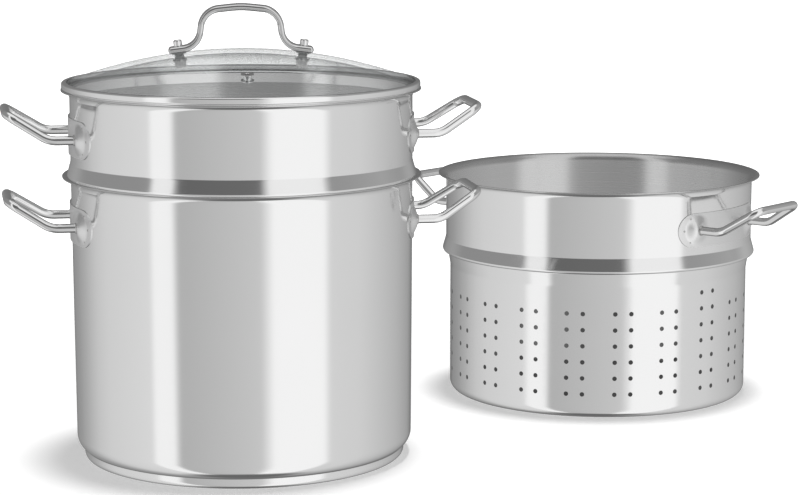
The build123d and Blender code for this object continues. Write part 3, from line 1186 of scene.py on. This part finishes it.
studio = {
    "cameraPlace": (-0.2174, -1.8271, 0.4424),
    "cameraBearing": radians(10.27),
    "cameraPitch": radians(-9.1),
    "lens": 117.5,
    "sensorWidth": 36,
    "farClip": 200,
    "floorHalf": 40,
    "floorColour": (0.80, 0.80, 0.80, 1),
    "floorGlow": 0.30,
    "farGlow": 0.60,
    "farGlowFrom": 0.45,
    "farGlowTo": 1.2,
    "middle": (0.13, 0.06, 0),
    "worldLight": 0.34,
    "lampPlace": (0.50, 0.22, 8.0),
    "lampAim": (0.12, 0.05, 0.05),
    "lampSize": 1.2,
    "lampPower": 392,
}
# what the steel sees round about: bearing from the camera in degrees, and how bright it is there
cards = [
    (-180, 0.18), (-168, 0.20), (-158, 0.30), (-145, 0.36), (-130, 0.48), (-113, 0.66), (-100, 0.74),
    (-62, 0.82), (-58, 1.07), (-45, 1.07), (-40, 0.52), (15, 0.67), (24, 1.09), (59, 1.09), (64, 0.77),
    (88, 0.74), (130, 0.54), (155, 0.38), (168, 0.20), (180, 0.18),
]
# the same above eye level, where less of the light comes from
highCards = [
    (-180, 0.18), (-165, 0.22), (-130, 0.30), (-62, 0.32), (-58, 1.00), (-45, 1.00), (-40, 0.15),
    (15, 0.17), (22, 1.00), (59, 1.00), (64, 0.34), (110, 0.42), (165, 0.25), (180, 0.18),
]
cardLevels = {
    "dark": 0.16,
    "darkFrom": -78,
    "darkTo": -64,
    "highFrom": 0,
    "highTo": 6,
    "roof": 1.0,
    "roofFrom": 54,
    "roofTo": 66,
    "most": 1.2,
}


def makeFloor():
    half = studio["floorHalf"]
    mesh = bpy.data.meshes.new("studioFloor")
    corners = [(-half, -half, 0), (half, -half, 0), (half, half, 0), (-half, half, 0)]
    mesh.from_pydata(corners, [], [(0, 1, 2, 3)])
    material, maker, place = newMaterial("studioFloor")
    rays = maker.add("ShaderNodeLightPath")
    seen = rays.out("Is Camera Ray").maths("MAXIMUM", rays.out("Is Glossy Ray"))
    seen = seen.maths("MAXIMUM", rays.out("Is Transmission Ray"))
    matt = maker.add("ShaderNodeBsdfDiffuse", None, {"Color": studio["floorColour"]})
    # away from the shadow the floor goes over into the white of the backdrop
    ends = {0: place, 1: studio["middle"]}
    apart = maker.add("ShaderNodeVectorMath", {"operation": "DISTANCE"}, ends).out("Value")
    far = maker.easeBetween(apart, studio["farGlowFrom"], studio["farGlowTo"])
    strength = seen * (studio["floorGlow"] + far * studio["farGlow"])
    glow = maker.add("ShaderNodeEmission", None, {"Color": (1, 1, 1, 1), "Strength": strength})
    both = maker.add("ShaderNodeAddShader", None, {0: matt, 1: glow})
    closeMaterial(maker, both)
    mesh.materials.append(material)
    floor = meshObject("studioFloor", mesh)
    floor.visible_glossy = False


def makeWorld():
    world = bpy.data.worlds.new("studio")
    bpy.context.scene.world = world
    world.use_nodes = True
    maker = NodeMaker(world.node_tree)
    rays = maker.add("ShaderNodeLightPath")
    x, y, z = maker.split(maker.add("ShaderNodeTexCoord").out("Generated"))
    ahead = (sin(studio["cameraBearing"]), cos(studio["cameraBearing"]))
    near = x * -ahead[0] + y * -ahead[1]
    right = x * ahead[1] - y * ahead[0]
    turn = right.maths("ARCTAN2", near) * degrees(1) / 360 + 0.5
    lift = z.maths("ARCSINE") * degrees(1)

    def ringOf(stops):
        # brightness all the way round, straight from stop to stop
        most = cardLevels["most"]
        greys = [((bearing + 180) / 360, dimmed((1, 1, 1), level / most)) for bearing, level in stops]
        ramp = maker.add("ShaderNodeValToRGB", {"stops": greys}, {"Fac": turn})
        return maker.add("ShaderNodeRGBToBW", None, {"Color": ramp}) * most

    def fade(below, above, name):
        share = maker.easeBetween(lift, cardLevels[name + "From"], cardLevels[name + "To"])
        return below + share * (above - below)

    level = ringOf(cards)
    high = ringOf(highCards)
    bright = fade(cardLevels["dark"], level, "dark")
    bright = fade(bright, high, "high")
    bright = fade(bright, cardLevels["roof"], "roof")

    glossy = rays.out("Is Glossy Ray")
    clear = rays.out("Is Camera Ray").maths("MAXIMUM", rays.out("Is Transmission Ray"))
    plain = clear + (1 - clear) * studio["worldLight"]
    strength = plain + glossy * (bright - plain)
    sky = maker.add("ShaderNodeBackground", None, {"Color": (1, 1, 1, 1), "Strength": strength})
    maker.add("ShaderNodeOutputWorld", None, {"Surface": sky})


def makeLamp():
    lamp = bpy.data.lights.new("softLamp", "AREA")
    lamp.shape = "DISK"
    lamp.size = studio["lampSize"]
    lamp.energy = studio["lampPower"]
    holder = bpy.data.objects.new("softLamp", lamp)
    bpy.context.scene.collection.objects.link(holder)
    place, aim = Vector(studio["lampPlace"]), Vector(studio["lampAim"])
    holder.location = place
    holder.rotation_euler = (aim - place).to_track_quat("-Z", "Y").to_euler()
    holder.visible_glossy = False


def makeCamera():
    view = bpy.data.cameras.new("camera")
    view.lens = studio["lens"]
    view.sensor_width = studio["sensorWidth"]
    view.clip_end = studio["farClip"]
    camera = bpy.data.objects.new("camera", view)
    bpy.context.scene.collection.objects.link(camera)
    camera.location = studio["cameraPlace"]
    camera.rotation_euler = (pi / 2 + studio["cameraPitch"], 0, -studio["cameraBearing"])
    bpy.context.scene.camera = camera


makeFloor()
makeWorld()
makeLamp()
makeCamera()
bpy.context.scene.view_settings.view_transform = "Standard"
print("studio made")
